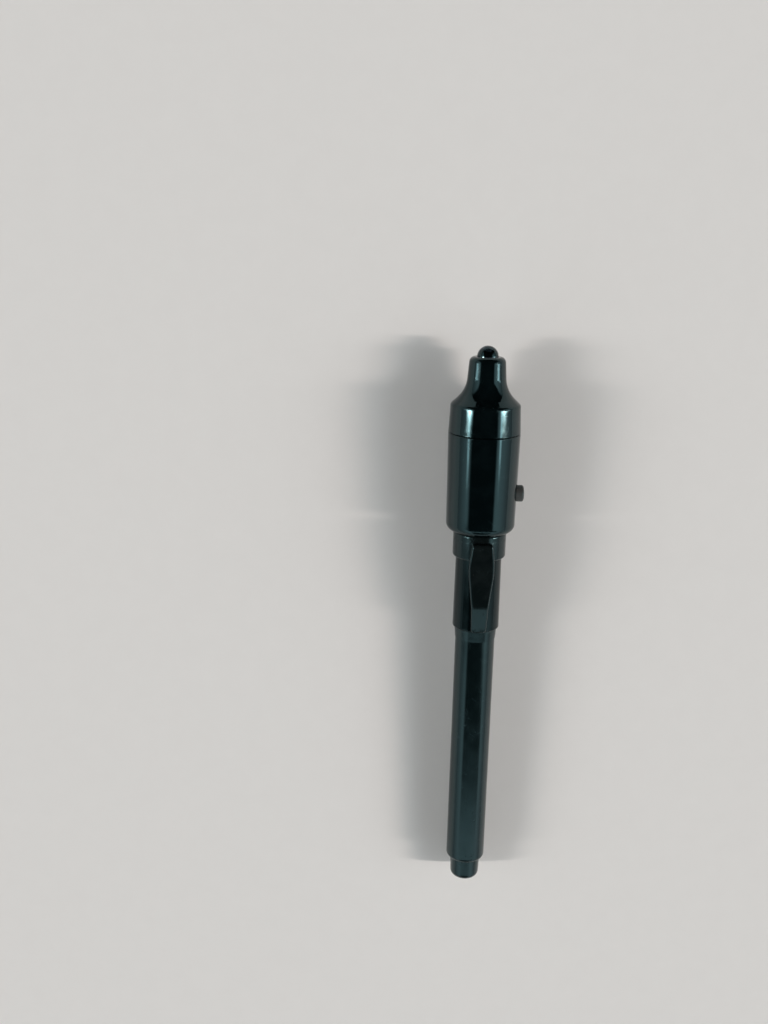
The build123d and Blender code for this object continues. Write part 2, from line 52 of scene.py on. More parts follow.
# Barrel: the tube held for writing, with a stop collar for the cap and a neck inside it.
# Black ABS moulded in one piece, in a mould polished a little less than the cap's, so that
# its gloss is softer. The two mould halves leave a fine line along each side.
MM = 0.001
slides = {joint["name"]: Vector(joint["axis"]) for joint in frame["joints"]}
along = slides["cap_pull"]
across = -slides["button_press"]
up = across.cross(along)
mounts = {mount["name"]: Vector(mount["pos_m"]) for mount in frame["record"]["mounts"]}
grip_middle = mounts["barrel_grip"]
tail_reach = min((corner.co - grip_middle).dot(along) for corner in solids["tail_plug"].data.vertices)
tail_end = grip_middle + along * tail_reach


def ends_of(node, direction=along):
    """How far a solid starts and ends from the middle of the pen's tail, in millimetres."""
    reaches = [(corner.co - tail_end).dot(direction) / MM for corner in solids[node].data.vertices]
    return min(reaches), max(reaches)


# A worn rim is given as its station from the tail and the reach of the wear, in millimetres.
barrel_tail, neck_end = ends_of("barrel")
cap_rim = ends_of("cap_sleeve")[0]
barrel_rims = [(barrel_tail + 0.4, 1.2), (cap_rim - 0.2, 0.7)]
barrel_deep = (0.0008, 0.0024, 0.0028, 1)
barrel_pale = (0.0018, 0.0042, 0.0047, 1)
barrel_gloss = 0.15
plastic_bend = 1.53
plain_shine = 0.5
# Painted cool light: a teal tint on every reflection of the plastics, the lens and the button, standing in for
# cool room light.
painted_cool_gloss = (0.52, 0.93, 1.0, 1)


def put(tree, kind, inputs=None, **settings):
    """A shader node in a tree, with its settings, and its inputs as values or as links."""
    node = tree.nodes.new("ShaderNode" + kind)
    for name, value in settings.items():
        setattr(node, name, value)
    for socket, value in (inputs or {}).items():
        if isinstance(value, bpy.types.NodeSocket):
            tree.links.new(value, node.inputs[socket])
        else:
            node.inputs[socket].default_value = value
    return node


def sum_of(tree, operation, *values):
    """The result of one sum on values or links."""
    return put(tree, "Math", dict(enumerate(values)), operation=operation).outputs[0]


def ramp(tree, value, low, high, start=0.0, end=1.0):
    """A value eased from start to end while it goes from low to high."""
    inputs = {"Value": value, "From Min": low, "From Max": high, "To Min": start, "To Max": end}
    return put(tree, "MapRange", inputs, interpolation_type="SMOOTHSTEP").outputs["Result"]


def new_effect(name, inputs, outputs):
    """An empty shader group: its tree, its inputs with their usual values, and its outputs."""
    tree = bpy.data.node_groups.new(name, "ShaderNodeTree")
    for label, usual in inputs.items():
        socket = tree.interface.new_socket(label, in_out="INPUT", socket_type="NodeSocketFloat")
        socket.default_value = usual
    for label in outputs:
        tree.interface.new_socket(label, in_out="OUTPUT", socket_type="NodeSocketFloat")
    way_in = tree.nodes.new("NodeGroupInput").outputs
    way_out = tree.nodes.new("NodeGroupOutput").inputs
    return tree, way_in, way_out


def use_effect(tree, effect, inputs=None):
    """The outputs of a shader group that is placed in a material with its own values."""
    return put(tree, "Group", inputs, node_tree=effect).outputs


def blend_colours(tree, factor, first, second):
    """A colour between two, which are values or links, by the mix node's own sockets for colours."""
    return put(tree, "Mix", {"Factor": factor, 6: first, 7: second}, data_type="RGBA").outputs[2]


def in_millimetres(tree):
    """Where a point of the surface is, in millimetres."""
    here = put(tree, "TexCoord").outputs["Object"]
    return put(tree, "VectorMath", {0: here, "Scale": 1 / MM}, operation="SCALE").outputs[0]


def noise(tree, place, size, detail=2.0, roughness=0.5):
    """Soft noise with lumps of about a size in millimetres."""
    if isinstance(size, bpy.types.NodeSocket):
        scale = sum_of(tree, "DIVIDE", 1.0, size)
    else:
        scale = 1.0 / size
    inputs = {"Vector": place, "Scale": scale, "Detail": detail, "Roughness": roughness}
    return put(tree, "TexNoise", inputs).outputs[0]


# Where a point is on the pen: its station from the tail, its distance from the axis and its turn.
pen_place, _, given = new_effect("pen_place", {}, ["Station", "Radius", "Turn"])
from_tail = {0: in_millimetres(pen_place), 1: tail_end / MM}
offset = put(pen_place, "VectorMath", from_tail, operation="SUBTRACT").outputs[0]
parts_of_offset = []
for direction in (along, across, up):
    dot = put(pen_place, "VectorMath", {0: offset, 1: direction}, operation="DOT_PRODUCT")
    parts_of_offset.append(dot.outputs["Value"])
station, sideways, height = parts_of_offset
squares = [sum_of(pen_place, "MULTIPLY", part, part) for part in (sideways, height)]
pen_place.links.new(station, given["Station"])
pen_place.links.new(sum_of(pen_place, "SQRT", sum_of(pen_place, "ADD", *squares)), given["Radius"])
pen_place.links.new(sum_of(pen_place, "ARCTAN2", height, sideways), given["Turn"])

# Skin of a moulding: slow ripples from cooling, fine grain, cloudy gloss and the mould's parting line.
skin_depth = 0.030 * MM
grain_share = 0.025
line_share = 0.35
line_edge = (0.004, 0.014)
haze_size = 3.5
haze_edge = (0.38, 0.68)
moulded_skin, taken, given = new_effect(
    "moulded_skin", {"Ripple": 7.0, "Grain": 0.3, "Turn": 0.0, "Line": 1.0}, ["Height", "Haze"]
)
here = in_millimetres(moulded_skin)
ripple = noise(moulded_skin, here, taken["Ripple"], detail=1.0)
grain = noise(moulded_skin, here, taken["Grain"], detail=3.0, roughness=0.6)
line_off = sum_of(moulded_skin, "ABSOLUTE", sum_of(moulded_skin, "SINE", taken["Turn"]))
line = ramp(moulded_skin, line_off, *line_edge, 1.0, 0.0)
line = sum_of(moulded_skin, "MULTIPLY", line, taken["Line"])
wavy = sum_of(moulded_skin, "MULTIPLY_ADD", grain, grain_share, ripple)
moulded_skin.links.new(sum_of(moulded_skin, "MULTIPLY_ADD", line, line_share, wavy), given["Height"])
haze = noise(moulded_skin, here, haze_size, detail=4.0, roughness=0.62)
moulded_skin.links.new(ramp(moulded_skin, haze, *haze_edge), given["Haze"])

# Rub marks: hair-thin scratches from handling, that come and go. Each of the two layers has a lean in
# radians, a stretch and a seed.
rub_depth = 0.002 * MM
rub_layers = ((0.5, 0.05, 3.0), (-0.9, 0.07, 11.0))
rub_squeeze = 1.1
hair_edge = (0.2, 1.0)
patch_size = 2.6
patch_edge = (0.54, 0.68)
rub_marks, taken, given = new_effect("rub_marks", {"Fineness": 0.012}, ["Mask"])
here = in_millimetres(rub_marks)
layers = []
for lean, stretch, seed in rub_layers:
    turn_by = {"Vector": here, "Location": (seed, 0, seed), "Rotation": (0, 0, lean)}
    turned = put(rub_marks, "Mapping", turn_by).outputs[0]
    draw_by = {"Vector": turned, "Scale": (rub_squeeze, stretch, rub_squeeze)}
    drawn = put(rub_marks, "Mapping", draw_by).outputs[0]
    wander = noise(rub_marks, drawn, 1.0, detail=1.0)
    off_line = sum_of(rub_marks, "ABSOLUTE", sum_of(rub_marks, "SUBTRACT", wander, 0.5))
    hair = sum_of(rub_marks, "DIVIDE", off_line, taken["Fineness"])
    hair = ramp(rub_marks, hair, *hair_edge, 1.0, 0.0)
    patches = ramp(rub_marks, noise(rub_marks, turned, patch_size, detail=3.0), *patch_edge)
    layers.append(sum_of(rub_marks, "MULTIPLY", hair, patches))
rub_marks.links.new(sum_of(rub_marks, "MAXIMUM", *layers), given["Mask"])

# Rim wear: the gloss goes first along an edge that rubs on a pocket or a hand.
wear_fade = (0.15, 1.0)
wear_size = 0.9
wear_edge = (0.42, 0.66)
rim_wear, taken, given = new_effect("rim_wear", {"Station": 0.0, "Rim": 0.0, "Reach": 0.6}, ["Mask"])
here = in_millimetres(rim_wear)
away = sum_of(rim_wear, "ABSOLUTE", sum_of(rim_wear, "SUBTRACT", taken["Station"], taken["Rim"]))
near = ramp(rim_wear, sum_of(rim_wear, "DIVIDE", away, taken["Reach"]), *wear_fade, 1.0, 0.0)
broken = ramp(rim_wear, noise(rim_wear, here, wear_size, detail=4.0, roughness=0.65), *wear_edge)
rim_wear.links.new(sum_of(rim_wear, "MULTIPLY", near, broken), given["Mask"])

# Lint: a few pale specks that cling to black plastic.
lint_grey = (0.20, 0.20, 0.19, 1)
lint_rarity = 0.7
speck_edge = (0.5, 1.0)
lint, taken, given = new_effect("lint", {"Spacing": 2.4, "Speck": 0.035}, ["Mask"])
spacing = sum_of(lint, "DIVIDE", 1.0, taken["Spacing"])
cells = put(lint, "TexVoronoi", {"Vector": in_millimetres(lint), "Scale": spacing}).outputs
speck = sum_of(lint, "DIVIDE", cells["Distance"], taken["Speck"])
speck = ramp(lint, speck, *speck_edge, 1.0, 0.0)
chance = put(lint, "SeparateColor", {0: cells["Color"]}).outputs[0]
chosen = sum_of(lint, "GREATER_THAN", chance, lint_rarity)
lint.links.new(sum_of(lint, "MULTIPLY", speck, chosen), given["Mask"])


def new_finish(name):
    """An empty material: the material, its tree and its Principled shader."""
    material = bpy.data.materials.new(name)
    material.use_nodes = True
    tree = material.node_tree
    return material, tree, tree.nodes["Principled BSDF"]


def bump(tree, height, depth):
    """A normal bent by a height, which stands up to a depth in metres proud."""
    return put(tree, "Bump", {"Height": height, "Strength": 1.0, "Distance": depth})


def drive(tree, shader, colour, roughness, relief=None):
    """Link what changes over a surface to its shader: colour, roughness and a bump."""
    tree.links.new(colour, shader.inputs["Base Color"])
    tree.links.new(roughness, shader.inputs["Roughness"])
    if relief is not None:
        tree.links.new(relief.outputs[0], shader.inputs["Normal"])


def dress(piece, material):
    """Give a piece one material."""
    piece.data.materials.clear()
    piece.data.materials.append(material)


# How much haze, rubbing, wear and lint dull black plastic, and how far lint covers its colour.
haze_dulls = 0.03
rub_dulls = 0.20
wear_dulls = 0.22
lint_dulls = 0.4
lint_cover = 0.6


def black_plastic(name, deep, pale, gloss, rims, line=1.0, depth=skin_depth, shine=plain_shine):
    """Black moulded plastic whose gloss is hazy in places, rubbed, and worn along some rims."""
    material, tree, shader = new_finish(name)
    place = use_effect(tree, pen_place)
    skin = use_effect(tree, moulded_skin, {"Turn": place["Turn"], "Line": line})
    rubbed = use_effect(tree, rub_marks)["Mask"]
    specks = use_effect(tree, lint)["Mask"]
    worn = None
    for rim, reach in rims:
        where = {"Station": place["Station"], "Rim": rim, "Reach": reach}
        wear = use_effect(tree, rim_wear, where)["Mask"]
        worn = wear if worn is None else sum_of(tree, "MAXIMUM", worn, wear)
    cloudy = blend_colours(tree, skin["Haze"], deep, pale)
    dusty = blend_colours(tree, sum_of(tree, "MULTIPLY", specks, lint_cover), cloudy, lint_grey)
    dull = gloss
    for mask, dulls in (
        (skin["Haze"], haze_dulls), (rubbed, rub_dulls), (worn, wear_dulls), (specks, lint_dulls)
    ):
        dull = sum_of(tree, "MULTIPLY_ADD", mask, dulls, dull)
    wave = bump(tree, skin["Height"], depth)
    groove = bump(tree, rubbed, -rub_depth)
    tree.links.new(wave.outputs[0], groove.inputs["Normal"])
    drive(tree, shader, dusty, dull, groove)
    shader.inputs["IOR"].default_value = plastic_bend
    shader.inputs["Specular IOR Level"].default_value = shine
    shader.inputs["Specular Tint"].default_value = painted_cool_gloss
    return material


barrel_black = black_plastic("barrel_black", barrel_deep, barrel_pale, barrel_gloss, barrel_rims)
dress(solids["barrel"], barrel_black)

# Tail plug: a thin cup pressed into the tail once the fibre rod is in.
# The same black ABS as the barrel, moulded from a gate in the middle of its end, whose stub is left
# in the dimple. The stub's profile is given as stations and radii.
dimple_floor = 0.35
gate_profile = (
    (dimple_floor + 0.03, 0.50), (dimple_floor, 0.47), (0.19, 0.41), (0.11, 0.34), (0.08, 0.20),
)
gate_sides = 24
plug_gloss = 0.16
plug_rims = [(0.5, 1.0)]
crease_angle = math.radians(32)
plug_black = black_plastic("plug_black", barrel_deep, barrel_pale, plug_gloss, plug_rims, line=0.0)
dress(solids["tail_plug"], plug_black)


def on_pen(station, sideways=0.0, height=0.0):
    """A place given in millimetres along, to the button's side of and above the pen's axis."""
    return tail_end + (along * station + across * sideways + up * height) * MM


def round_pen(station, radius, angle):
    """A place at a distance from the pen's axis, turned upwards from the button's side."""
    return on_pen(station, radius * math.cos(angle), radius * math.sin(angle))


def turns(sides):
    """The angles of a number of sides round a circle."""
    return [side * math.tau / sides for side in range(sides)]


def skin_rings(shape, rings, closed_ends=True):
    """Faces between rings of places, one after another, with the end rings filled."""
    rows = [[shape.verts.new(place) for place in ring] for ring in rings]
    for low, high in zip(rows, rows[1:]):
        for i, corner in enumerate(low):
            j = (i + 1) % len(low)
            shape.faces.new((corner, low[j], high[j], high[i]))
    if closed_ends:
        shape.faces.new(list(reversed(rows[0])))
        shape.faces.new(rows[-1])
    return rows


def make_piece(name, shape, body=None):
    """A piece from a finished mesh, on a body where one is named."""
    mesh = bpy.data.meshes.new(name)
    bmesh.ops.recalc_face_normals(shape, faces=shape.faces)
    shape.to_mesh(mesh)
    shape.free()
    mesh.shade_smooth()
    mesh.set_sharp_from_angle(angle=crease_angle)
    piece = bpy.data.objects.new(name, mesh)
    bpy.context.scene.collection.objects.link(piece)
    if body:
        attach(piece, body)
    return piece


gate_shape = bmesh.new()
gate_rings = []
for station, radius in gate_profile:
    gate_rings.append([round_pen(station, radius, angle) for angle in turns(gate_sides)])
skin_rings(gate_shape, gate_rings)
plug_gate = make_piece("plug_gate", gate_shape, "pen")
dress(plug_gate, plug_black)

# Ink reservoir and its film: a rod of polyester fibre, drawn lengthwise, in a milky wrapped film.
# The rod soaks up the clear ink, and the film keeps it off the barrel.
fibre_pale = (0.88, 0.88, 0.85, 1)
fibre_shade = (0.66, 0.66, 0.64, 1)
fibre_strand = 0.16
fibre_rough = (0.95, 0.75)
fibre_depth = 0.05 * MM
film_clear = (0.86, 0.89, 0.91, 1)
film_milky = (0.95, 0.96, 0.96, 1)
film_crease = 2.2
film_rough = (0.18, 0.34)
film_depth = 0.06 * MM

# Drawn fibre: fine strands along the pen. Most of a noise's values lie within its spread.
noise_spread = (0.3, 0.7)
drawn_fibre, taken, given = new_effect("drawn_fibre", {"Strand": 0.12, "Stretch": 14.0}, ["Strands"])
place = use_effect(drawn_fibre, pen_place)
run = sum_of(drawn_fibre, "DIVIDE", place["Station"], taken["Stretch"])
round_axis = []
for way in ("COSINE", "SINE"):
    turned = sum_of(drawn_fibre, way, place["Turn"])
    round_axis.append(sum_of(drawn_fibre, "MULTIPLY", turned, place["Radius"]))
strand_place = put(drawn_fibre, "CombineXYZ", {0: round_axis[0], 1: run, 2: round_axis[1]}).outputs[0]
strands = noise(drawn_fibre, strand_place, taken["Strand"], roughness=0.6)
drawn_fibre.links.new(ramp(drawn_fibre, strands, *noise_spread), given["Strands"])

reservoir_fibre, tree, shader = new_finish("reservoir_fibre")
strands = use_effect(tree, drawn_fibre, {"Strand": fibre_strand})["Strands"]
soft_white = blend_colours(tree, strands, fibre_shade, fibre_pale)
rough = ramp(tree, strands, 0.0, 1.0, *fibre_rough)
drive(tree, shader, soft_white, rough, bump(tree, strands, fibre_depth))
dress(solids["ink_reservoir"], reservoir_fibre)

film_wrap, tree, shader = new_finish("film_wrap")
creases = noise(tree, in_millimetres(tree), film_crease, detail=4.0, roughness=0.6)
milky = blend_colours(tree, creases, film_clear, film_milky)
rough = ramp(tree, creases, *noise_spread, *film_rough)
drive(tree, shader, milky, rough, bump(tree, creases, film_depth))
dress(solids["reservoir_film"], film_wrap)

# Nib holder: the front section, pressed into the neck, with a flange on the neck's end and a cone.
# Satin black polypropylene, with a fine grain from the mould.
holder_tip = ends_of("nib_holder")[1]
holder_rims = [(neck_end + 1.1, 0.6), (holder_tip - 0.1, 0.5)]
holder_deep = (0.014, 0.016, 0.017, 1)
holder_pale = (0.024, 0.027, 0.028, 1)
holder_gloss = 0.34
holder_line = 0.6
holder_depth = 0.04 * MM
holder_black = black_plastic(
    "holder_black", holder_deep, holder_pale, holder_gloss, holder_rims, holder_line, holder_depth
)
dress(solids["nib_holder"], holder_black)

# Nib: a rod of pressed fibre that reaches back into the reservoir, ground to a bullet.
# Its strands show, and the clear ink leaves the point a little greyer.
nib_tip = ends_of("nib")[1]
nib_soaks = (nib_tip - 2.2, nib_tip - 0.3)
nib_pale = (0.86, 0.85, 0.79, 1)
nib_shade = (0.62, 0.60, 0.53, 1)
nib_wet = (0.58, 0.57, 0.53, 1)
nib_wet_share = 0.7
nib_strand = 0.09
nib_stretch = 9.0
nib_rough = (0.9, 0.5)
nib_depth = 0.03 * MM
nib_fibre, tree, shader = new_finish("nib_fibre")
strands = use_effect(tree, drawn_fibre, {"Strand": nib_strand, "Stretch": nib_stretch})["Strands"]
wet = ramp(tree, use_effect(tree, pen_place)["Station"], *nib_soaks)
dry = blend_colours(tree, strands, nib_shade, nib_pale)
inked = blend_colours(tree, sum_of(tree, "MULTIPLY", wet, nib_wet_share), dry, nib_wet)
drive(tree, shader, inked, ramp(tree, wet, 0.0, 1.0, *nib_rough), bump(tree, strands, nib_depth))
dress(solids["nib"], nib_fibre)

# Cap sleeve: the tube that goes over the neck, glued into the lamp body at its upper end.
# Glossy black ABS from a polished mould, worn a little at the rim that meets the collar.
cap_deep = (0.0004, 0.0017, 0.0021, 1)
cap_pale = (0.0012, 0.0033, 0.0039, 1)
sleeve_gloss = 0.11
sleeve_shine = 0.25
sleeve_rims = [(cap_rim + 0.2, 0.6)]
sleeve_black = black_plastic(
    "sleeve_black", cap_deep, cap_pale, sleeve_gloss, sleeve_rims, shine=sleeve_shine
)
dress(solids["cap_sleeve"], sleeve_black)

# Pocket clip: a ring pressed on the sleeve under the lamp, and an arm, one moulding.
# The same black ABS, greyed a little all over by cloth, and rubbed most at the arm's root and its tip.
arm_tip, ring_top = ends_of("pocket_clip")
arm_root = ring_top - 1.7
clip_rims = [(arm_tip + 0.2, 1.6), (arm_root - 0.1, 0.5), (ring_top - 0.2, 0.6)]
clip_deep = (0.0028, 0.0046, 0.0048, 1)
clip_pale = (0.0056, 0.0080, 0.0083, 1)
clip_gloss = 0.12
clip_shine = 0.38
clip_black = black_plastic(
    "clip_black", clip_deep, clip_pale, clip_gloss, clip_rims, line=0.0, shine=clip_shine
)
dress(solids["pocket_clip"], clip_black)

# Lamp body: the wide cup that holds the cells, with the button's hole in its side.
# The same glossy black, with wear along the lower rim and the seam under the nose.
lamp_foot, seam = ends_of("lamp_body")
lamp_rims = [(lamp_foot + 1.2, 1.6), (seam - 0.1, 0.4)]
lamp_gloss = 0.05
lamp_black = black_plastic("lamp_black", cap_deep, cap_pale, lamp_gloss, lamp_rims)
dress(solids["lamp_body"], lamp_black)

# Battery carrier: the cradle that keeps the cells in line inside the lamp body.
# Off-white ABS with the slight texture of an unpolished mould.
carrier_white = (0.78, 0.77, 0.72, 1)
carrier_shade = (0.66, 0.64, 0.58, 1)
carrier_cloud = 2.5
carrier_pit = 0.2
carrier_rough = (0.42, 0.58)
carrier_depth = 0.02 * MM
carrier_cream, tree, shader = new_finish("carrier_cream")
clouds = noise(tree, in_millimetres(tree), carrier_cloud, detail=4.0, roughness=0.6)
pits = noise(tree, in_millimetres(tree), carrier_pit, roughness=0.6)
cream = blend_colours(tree, clouds, carrier_shade, carrier_white)
rough = ramp(tree, pits, *noise_spread, *carrier_rough)
drive(tree, shader, cream, rough, bump(tree, pits, carrier_depth))
dress(solids["battery_carrier"], carrier_cream)

# Battery strip, spring and switch leaf: they carry the current past the cells to the button.
# The strip and leaf are punched from thin brass, and the spring is wound from steel wire. The leaf is
# held at the carrier, cranked out to the button, and bends under it.
leaf_end, leaf_top = ends_of("switch_leaf")
leaf_crank_top = 109.5
leaf_crank_foot = 105.9
leaf_held = 5.2
leaf_free = 5.495
leaf_half = 1.5
leaf_thickness = 0.18
leaf_burr = 0.04
leaf_steps = 60
brass_bright = (0.78, 0.60, 0.30, 1)
brass_dull = (0.58, 0.42, 0.19, 1)
brass_gloss = 0.22
steel_bright = (0.62, 0.62, 0.61, 1)
steel_dull = (0.42, 0.42, 0.42, 1)
steel_gloss = 0.2

# Tarnish: cloudy dulling and fine rolling lines on bright metal.
tarnish_edge = (0.35, 0.7)
tarnish_dulls = 0.2
rolling_stretch = (1.0, 0.03, 1.0)
rolling_depth = 0.003 * MM
tarnish, taken, given = new_effect("tarnish", {"Cloud": 1.6, "Line": 0.05}, ["Dull", "Lines"])
here = in_millimetres(tarnish)
clouded = noise(tarnish, here, taken["Cloud"], detail=4.0, roughness=0.65)
tarnish.links.new(ramp(tarnish, clouded, *tarnish_edge), given["Dull"])
rolled = put(tarnish, "VectorMath", {0: here, 1: rolling_stretch}, operation="MULTIPLY").outputs[0]
tarnish.links.new(noise(tarnish, rolled, taken["Line"], detail=1.0), given["Lines"])


def bright_metal(name, bright, dull, gloss):
    """Thin bright metal with clouds of tarnish and rolling lines."""
    material, tree, shader = new_finish(name)
    state = use_effect(tree, tarnish)
    colour = blend_colours(tree, state["Dull"], bright, dull)
    rough = sum_of(tree, "MULTIPLY_ADD", state["Dull"], tarnish_dulls, gloss)
    drive(tree, shader, colour, rough, bump(tree, state["Lines"], rolling_depth))
    shader.inputs["Metallic"].default_value = 1.0
    return material


strip_brass = bright_metal("strip_brass", brass_bright, brass_dull, brass_gloss)
dress(solids["battery_strip"], strip_brass)
dress(solids["switch_leaf"], strip_brass)
leaf_shape = bmesh.new()
leaf_rings = []
leaf_flat = leaf_half - leaf_burr
for step in range(leaf_steps + 1):
    station = leaf_top + (leaf_end - leaf_top) * step / leaf_steps
    share = min(1.0, max(0.0, (leaf_crank_top - station) / (leaf_crank_top - leaf_crank_foot)))
    outer = leaf_held + (leaf_free - leaf_held) * share * share * (3 - 2 * share)
    inner = outer - leaf_thickness
    outline = (
        (inner, -leaf_half), (outer - leaf_burr, -leaf_half), (outer, -leaf_flat),
        (outer, leaf_flat), (outer - leaf_burr, leaf_half), (inner, leaf_half),
    )
    leaf_rings.append([on_pen(station, sideways, height) for sideways, height in outline])
skin_rings(leaf_shape, leaf_rings)
bent_leaf = make_piece("bent_leaf", leaf_shape)
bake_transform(bent_leaf)
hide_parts("switch_leaf")
dress(bent_leaf, strip_brass)
dress(solids["battery_spring"], bright_metal("spring_steel", steel_bright, steel_dull, steel_gloss))

# Button cells: three in a stack, each a nickel-plated can crimped over a lid.
# The can and the lid are turned bright, and the crimp between them is dark.
cell_count = 3
cells_foot, first_top = ends_of("button_cell_1")
cell_height = first_top - cells_foot
can_nickel = (0.72, 0.72, 0.70, 1)
can_dull = (0.52, 0.52, 0.51, 1)
can_cloud = 2.4
can_gloss = 0.2
crimp_dark = (0.05, 0.05, 0.05, 1)
crimp_climb = 0.27
crimp_edge = (0.03, 0.09)
turning_scale = 9.0
turning_dulls = 0.12
turning_depth = 0.004 * MM
cell_nickel, tree, shader = new_finish("cell_nickel")
place = use_effect(tree, pen_place)
state = use_effect(tree, tarnish, {"Cloud": can_cloud})
outwards = put(tree, "CombineXYZ", {0: place["Radius"]}).outputs[0]
turning = put(tree, "TexWave", {"Vector": outwards, "Scale": turning_scale}).outputs[1]
climb = sum_of(tree, "MODULO", sum_of(tree, "SUBTRACT", place["Station"], cells_foot), cell_height)
crimp = sum_of(tree, "ABSOLUTE", sum_of(tree, "SUBTRACT", climb, crimp_climb))
crimp = ramp(tree, crimp, *crimp_edge, 1.0, 0.0)
shiny = blend_colours(tree, state["Dull"], can_nickel, can_dull)
rough = sum_of(tree, "MULTIPLY_ADD", turning, turning_dulls, can_gloss)
crimped = blend_colours(tree, crimp, shiny, crimp_dark)
drive(tree, shader, crimped, rough, bump(tree, turning, turning_depth))
shader.inputs["Metallic"].default_value = 1.0
for number in range(1, cell_count + 1):
    dress(solids[f"button_cell_{number}"], cell_nickel)

# LED holder: a disc on the cells' carrier with a ribbed post that stands the lamp up into the nose.
# Satin black, like the nib's holder, with the leads in its holes.
dress(solids["led_holder"], holder_black)

# LED leads: two tinned steel legs with the anvil and the post that show inside the lens.
# The anvil carries the chip in a little cup, and a hair of gold wire joins the chip to the post.
anode_top = ends_of("led_anode")[1]
cathode_top = ends_of("led_cathode")[1]
cup_floor = cathode_top - 0.35
lead_offset = 1.27
chip_half = 0.16
chip_top = cup_floor + 0.13
pad_half = 0.07
pad_top = chip_top + 0.03
pad_edge = (0.085, 0.10)
wire_radius = 0.022
wire_slant = 0.7
wire_arch = 0.55
arch_lean = 0.75
wire_steps = 24
wire_sides = 8
tin_bright = (0.75, 0.75, 0.76, 1)
tin_dull = (0.52, 0.52, 0.54, 1)
tin_gloss = 0.24
chip_blue = (0.16, 0.18, 0.24, 1)
chip_speckle = 0.05
chip_rough = (0.15, 0.4)
pad_gold = (0.62, 0.52, 0.30, 1)
gold_bright = (0.90, 0.68, 0.32, 1)
gold_dull = (0.74, 0.52, 0.22, 1)
gold_gloss = 0.15
lead_tin = bright_metal("lead_tin", tin_bright, tin_dull, tin_gloss)
dress(solids["led_anode"], lead_tin)
dress(solids["led_cathode"], lead_tin)

chip_profile = (
    (cup_floor, chip_half), (chip_top, chip_half), (chip_top, pad_half), (pad_top, pad_half),
)
chip_shape = bmesh.new()
chip_rings = []
for station, half in chip_profile:
    corners = ((-half, -half), (half, -half), (half, half), (-half, half))
    chip_rings.append([on_pen(station, sideways, height) for sideways, height in corners])
skin_rings(chip_shape, chip_rings)
chip = make_piece("led_chip", chip_shape, "cap")
chip_finish, tree, shader = new_finish("chip_finish")
pad = ramp(tree, use_effect(tree, pen_place)["Radius"], *pad_edge, 1.0, 0.0)
speckle = noise(tree, in_millimetres(tree), chip_speckle)
rough = ramp(tree, speckle, *noise_spread, *chip_rough)
drive(tree, shader, blend_colours(tree, pad, chip_blue, pad_gold), rough)
dress(chip, chip_finish)

wire_start = on_pen(pad_top)
wire_end = on_pen(anode_top, -lead_offset)
wire_shape = bmesh.new()
wire_rings = []
slant = (across + along) * wire_slant
for step in range(wire_steps + 1):
    share = step / wire_steps
    rise = wire_arch * math.sin(math.pi * share ** arch_lean)
    middle = wire_start.lerp(wire_end, share) + along * rise * MM
    spokes = [up * math.cos(angle) + slant * math.sin(angle) for angle in turns(wire_sides)]
    wire_rings.append([middle + spoke * wire_radius * MM for spoke in spokes])
skin_rings(wire_shape, wire_rings)
bond_wire = make_piece("led_bond_wire", wire_shape, "cap")
dress(bond_wire, bright_metal("bond_gold", gold_bright, gold_dull, gold_gloss))

# LED lens: a 5 mm lens of clear epoxy cast round the leads, with a domed end, a flange at its
# foot and a flat on the flange that marks the minus lead. It has a faint violet cast, and its colour
# is a dark teal to blue, a painted shade for the dark look of the dome.
led_foot, led_top = ends_of("uv_led")
led_tip = led_top - 0.001
led_radius = 2.5
flange_radius = 2.9
flange_top = led_foot + 1.0
flange_flat = led_radius + 0.02
foot_bevel = 0.12
top_bevel = 0.15
root_bevel = 0.06
dome_foot = led_tip - led_radius
dome_steps = 22
lens_sides = 96
# Painted shade: these dark teal and blue colours darken the clear lens to give the dome its dark look; only the
# faint violet is its own cast.
epoxy_teal_painted_shade = (0.16, 0.23, 0.28, 1)
epoxy_violet_painted_shade = (0.12, 0.15, 0.23, 1)
epoxy_bend = 1.54
epoxy_swirl = 1.4
epoxy_rough = (0.02, 0.06)
epoxy_depth = 0.012 * MM
lens_profile = [
    (led_foot, flange_radius - foot_bevel),
    (led_foot + foot_bevel, flange_radius),
    (flange_top - top_bevel, flange_radius),
    (flange_top, flange_radius - top_bevel),
    (flange_top, led_radius + root_bevel),
    (flange_top + root_bevel, led_radius),
    (dome_foot, led_radius),
]
for step in range(1, dome_steps):
    angle = step * math.pi / 2 / dome_steps
    lens_profile.append((dome_foot + led_radius * math.sin(angle), led_radius * math.cos(angle)))
lens_shape = bmesh.new()
lens_rings = []
for station, radius in lens_profile:
    ring = []
    for angle in turns(lens_sides):
        sideways = min(radius * math.cos(angle), flange_flat)
        ring.append(on_pen(station, sideways, radius * math.sin(angle)))
    lens_rings.append(ring)
lens_rows = skin_rings(lens_shape, lens_rings, closed_ends=False)
lens_shape.faces.new(list(reversed(lens_rows[0])))
point = lens_shape.verts.new(on_pen(led_tip))
for i, corner in enumerate(lens_rows[-1]):
    lens_shape.faces.new((corner, lens_rows[-1][(i + 1) % lens_sides], point))
led_lens = make_piece("led_lens", lens_shape, "cap")
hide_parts("uv_led")
epoxy, tree, shader = new_finish("epoxy")
swirl = noise(tree, in_millimetres(tree), epoxy_swirl)
tinted = blend_colours(tree, swirl, epoxy_teal_painted_shade, epoxy_violet_painted_shade)
rough = ramp(tree, swirl, *noise_spread, *epoxy_rough)
drive(tree, shader, tinted, rough, bump(tree, swirl, epoxy_depth))
shader.inputs["IOR"].default_value = epoxy_bend
shader.inputs["Specular Tint"].default_value = painted_cool_gloss
shader.inputs["Transmission Weight"].default_value = 1.0
dress(led_lens, epoxy)
